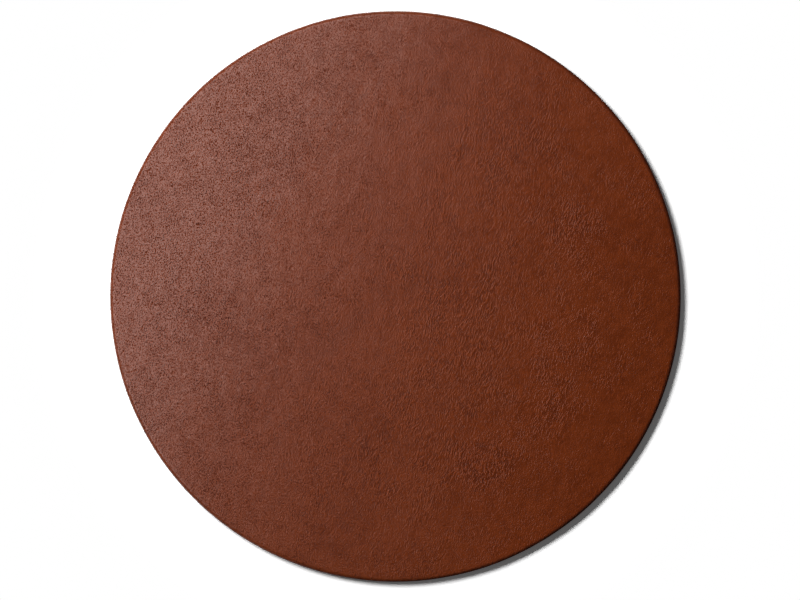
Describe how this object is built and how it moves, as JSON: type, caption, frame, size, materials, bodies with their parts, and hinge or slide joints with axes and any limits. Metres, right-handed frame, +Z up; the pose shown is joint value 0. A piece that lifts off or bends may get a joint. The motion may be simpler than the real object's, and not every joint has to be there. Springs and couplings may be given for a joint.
{
  "type": "round mouse pad",
  "caption": "Round desk mouse pad: a brown leather cover turned over the rim of a padded flat core, on a thin rubber grip sheet.",
  "frame": {"origin": "centre of the underside, on the desk", "axes": "+Z up out of the leather face, the pad's axis of symmetry; +Y is away from the user, and +X is to the user's right"},
  "size_m": [0.22, 0.22, 0.0034],
  "materials": {
    "cover_leather": "satin",
    "bond_film": "satin",
    "core_foam": "matte",
    "core_board": "matte",
    "filler_felt": "matte",
    "grip_rubber": "matte"
  },
  "bodies": {
    "root": {"top_cover": "cover_leather", "face_bond_film": "bond_film", "cushion_foam": "core_foam", "core_bond_film": "bond_film", "stiffener_board": "core_board", "hem_bond_film": "bond_film", "filler_disc": "filler_felt", "base_bond_film": "bond_film", "grip_sheet": "grip_rubber"}
  },
  "joints": []
}
